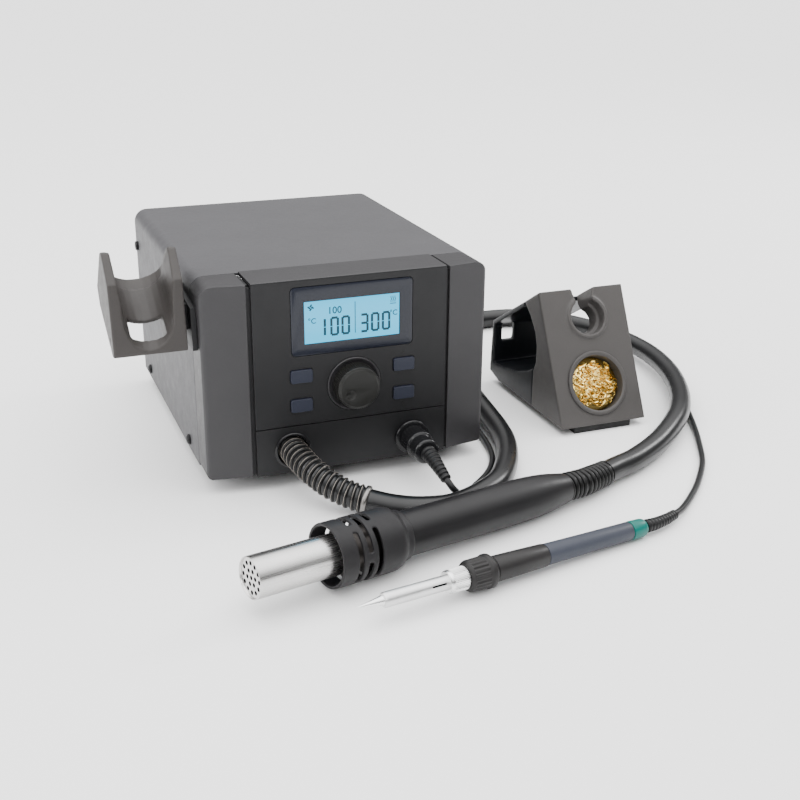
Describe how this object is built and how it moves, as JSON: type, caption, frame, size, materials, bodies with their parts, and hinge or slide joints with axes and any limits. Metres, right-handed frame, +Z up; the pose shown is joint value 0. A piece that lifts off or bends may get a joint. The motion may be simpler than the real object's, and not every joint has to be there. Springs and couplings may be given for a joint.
{
  "type": "hot air station",
  "caption": "Bench rework station with display, keys and knob, a hot air handpiece on a hose, a soldering iron on a cord, and an iron stand with brass wool.",
  "frame": {"origin": "on the bench, at the middle of the footprint that the station, the stand and the two tools take together", "axes": "+X to the right of someone facing the front panel, +Y to the back, +Z up"},
  "size_m": [0.456, 0.4424, 0.1539],
  "materials": {
    "casing_grey": "fine-textured satin paint",
    "pillar_plastic": "fine moulded grain",
    "panel_black": "satin",
    "trim_black": "satin",
    "display_lens": "polished, tinted",
    "display_lit": "backlit",
    "key_plastic": "satin",
    "knob_plastic": "finely ribbed",
    "connector_black": "semi-gloss",
    "hose_rubber": "smooth, semi-gloss",
    "spring_black": "black with bright edges",
    "foot_rubber": "matte",
    "screw_black": "black oxide",
    "steel_parts": "plain",
    "board_green": "solder mask",
    "holder_plastic": "fine moulded grain",
    "nozzle_steel": "brushed",
    "heater_white": "matte",
    "handle_black": "matte",
    "grip_slate": "soft matte",
    "ring_teal": "satin",
    "tip_plating": "plated",
    "stand_grey": "fine moulded grain",
    "stand_black": "satin",
    "brass_wool": "curled ribbon"
  },
  "bodies": {
    "station": {"top_cover": "casing_grey", "base_chassis": "casing_grey", "rear_panel": "casing_grey", "left_pillar": "pillar_plastic", "right_pillar": "pillar_plastic", "front_panel": "panel_black", "lower_front_panel": "panel_black", "front_subframe": "trim_black", "holder_plate": "trim_black", "air_pump": "trim_black", "display_window": "display_lens", "lcd_module": "display_lit", "knob_ring": "knob_plastic", "hose_gland": "connector_black", "iron_socket": "connector_black", "iron_plug": "connector_black", "power_inlet": "connector_black", "switch_frame": "connector_black", "air_hose": "hose_rubber", "iron_cord": "hose_rubber", "plug_boot": "hose_rubber", "outlet_spring": "spring_black", "foot_1": "foot_rubber", "foot_2": "foot_rubber", "foot_3": "foot_rubber", "foot_4": "foot_rubber", "side_screw_back": "screw_black", "side_screw_front": "screw_black", "holder_screw_front": "screw_black", "holder_screw_back": "screw_black", "transformer": "steel_parts", "control_board": "board_green", "handle_cradle": "holder_plastic"},
    "selector_knob": {"knob": "knob_plastic", "encoder_shaft": "steel_parts"},
    "temp_up_key": {"temp_up_button": "key_plastic"},
    "temp_down_key": {"temp_down_button": "key_plastic"},
    "air_up_key": {"air_up_button": "key_plastic"},
    "air_down_key": {"air_down_button": "key_plastic"},
    "power_switch": {"power_rocker": "connector_black"},
    "pump_armature": {"pump_arm": "steel_parts"},
    "handpiece": {"nozzle_tube": "nozzle_steel", "nozzle_diffuser": "nozzle_steel", "heater_core": "heater_white", "heater_guard": "handle_black", "handle_shell": "handle_black", "hose_relief": "hose_rubber"},
    "iron": {"iron_tip": "tip_plating", "tip_sleeve": "nozzle_steel", "sleeve_nut": "tip_plating", "grip_nut": "handle_black", "front_grip": "handle_black", "rear_grip": "grip_slate", "end_ring": "ring_teal", "iron_boot": "hose_rubber"},
    "iron_stand": {"stand_front": "stand_grey", "stand_rear": "stand_black", "wool_cup": "stand_grey", "brass_wool": "brass_wool", "stand_pad": "foot_rubber"}
  },
  "joints": [
    {"name": "knob_turn", "type": "hinge", "parent": "station", "child": "selector_knob", "pos_m": [-0.04005, -0.0288, 0.0648], "axis": [0, 1, 0], "continuous": true},
    {"name": "temp_up_press", "type": "slide", "parent": "station", "child": "temp_up_key", "axis": [0, 1, 0], "range_m": [0, 0.0012], "stiffness_N_per_m": 300},
    {"name": "temp_down_press", "type": "slide", "parent": "station", "child": "temp_down_key", "axis": [0, 1, 0], "range_m": [0, 0.0012], "stiffness_N_per_m": 300},
    {"name": "air_up_press", "type": "slide", "parent": "station", "child": "air_up_key", "axis": [0, 1, 0], "range_m": [0, 0.0012], "stiffness_N_per_m": 300},
    {"name": "air_down_press", "type": "slide", "parent": "station", "child": "air_down_key", "axis": [0, 1, 0], "range_m": [0, 0.0012], "stiffness_N_per_m": 300},
    {"name": "power_rock", "type": "hinge", "parent": "station", "child": "power_switch", "pos_m": [0.01675, 0.1973, 0.0695], "axis": [1, 0, 0], "range_deg": [-7, 7]},
    {"name": "pump_swing", "type": "hinge", "parent": "station", "child": "pump_armature", "pos_m": [0.01075, 0.1109, 0.036], "axis": [0, 0, 1], "range_deg": [-2.5, 2.5], "stiffness_Nm_per_rad": 0.5},
    {"name": "handpiece_lift", "type": "slide", "parent": "station", "child": "handpiece", "axis": [0, 0, 1], "range_m": [0, 0.08]},
    {"name": "iron_lift", "type": "slide", "parent": "station", "child": "iron", "axis": [0, 0, 1], "range_m": [0, 0.06]},
    {"name": "stand_lift", "type": "slide", "parent": "station", "child": "iron_stand", "axis": [0, 0, 1], "range_m": [0, 0.06]}
  ]
}
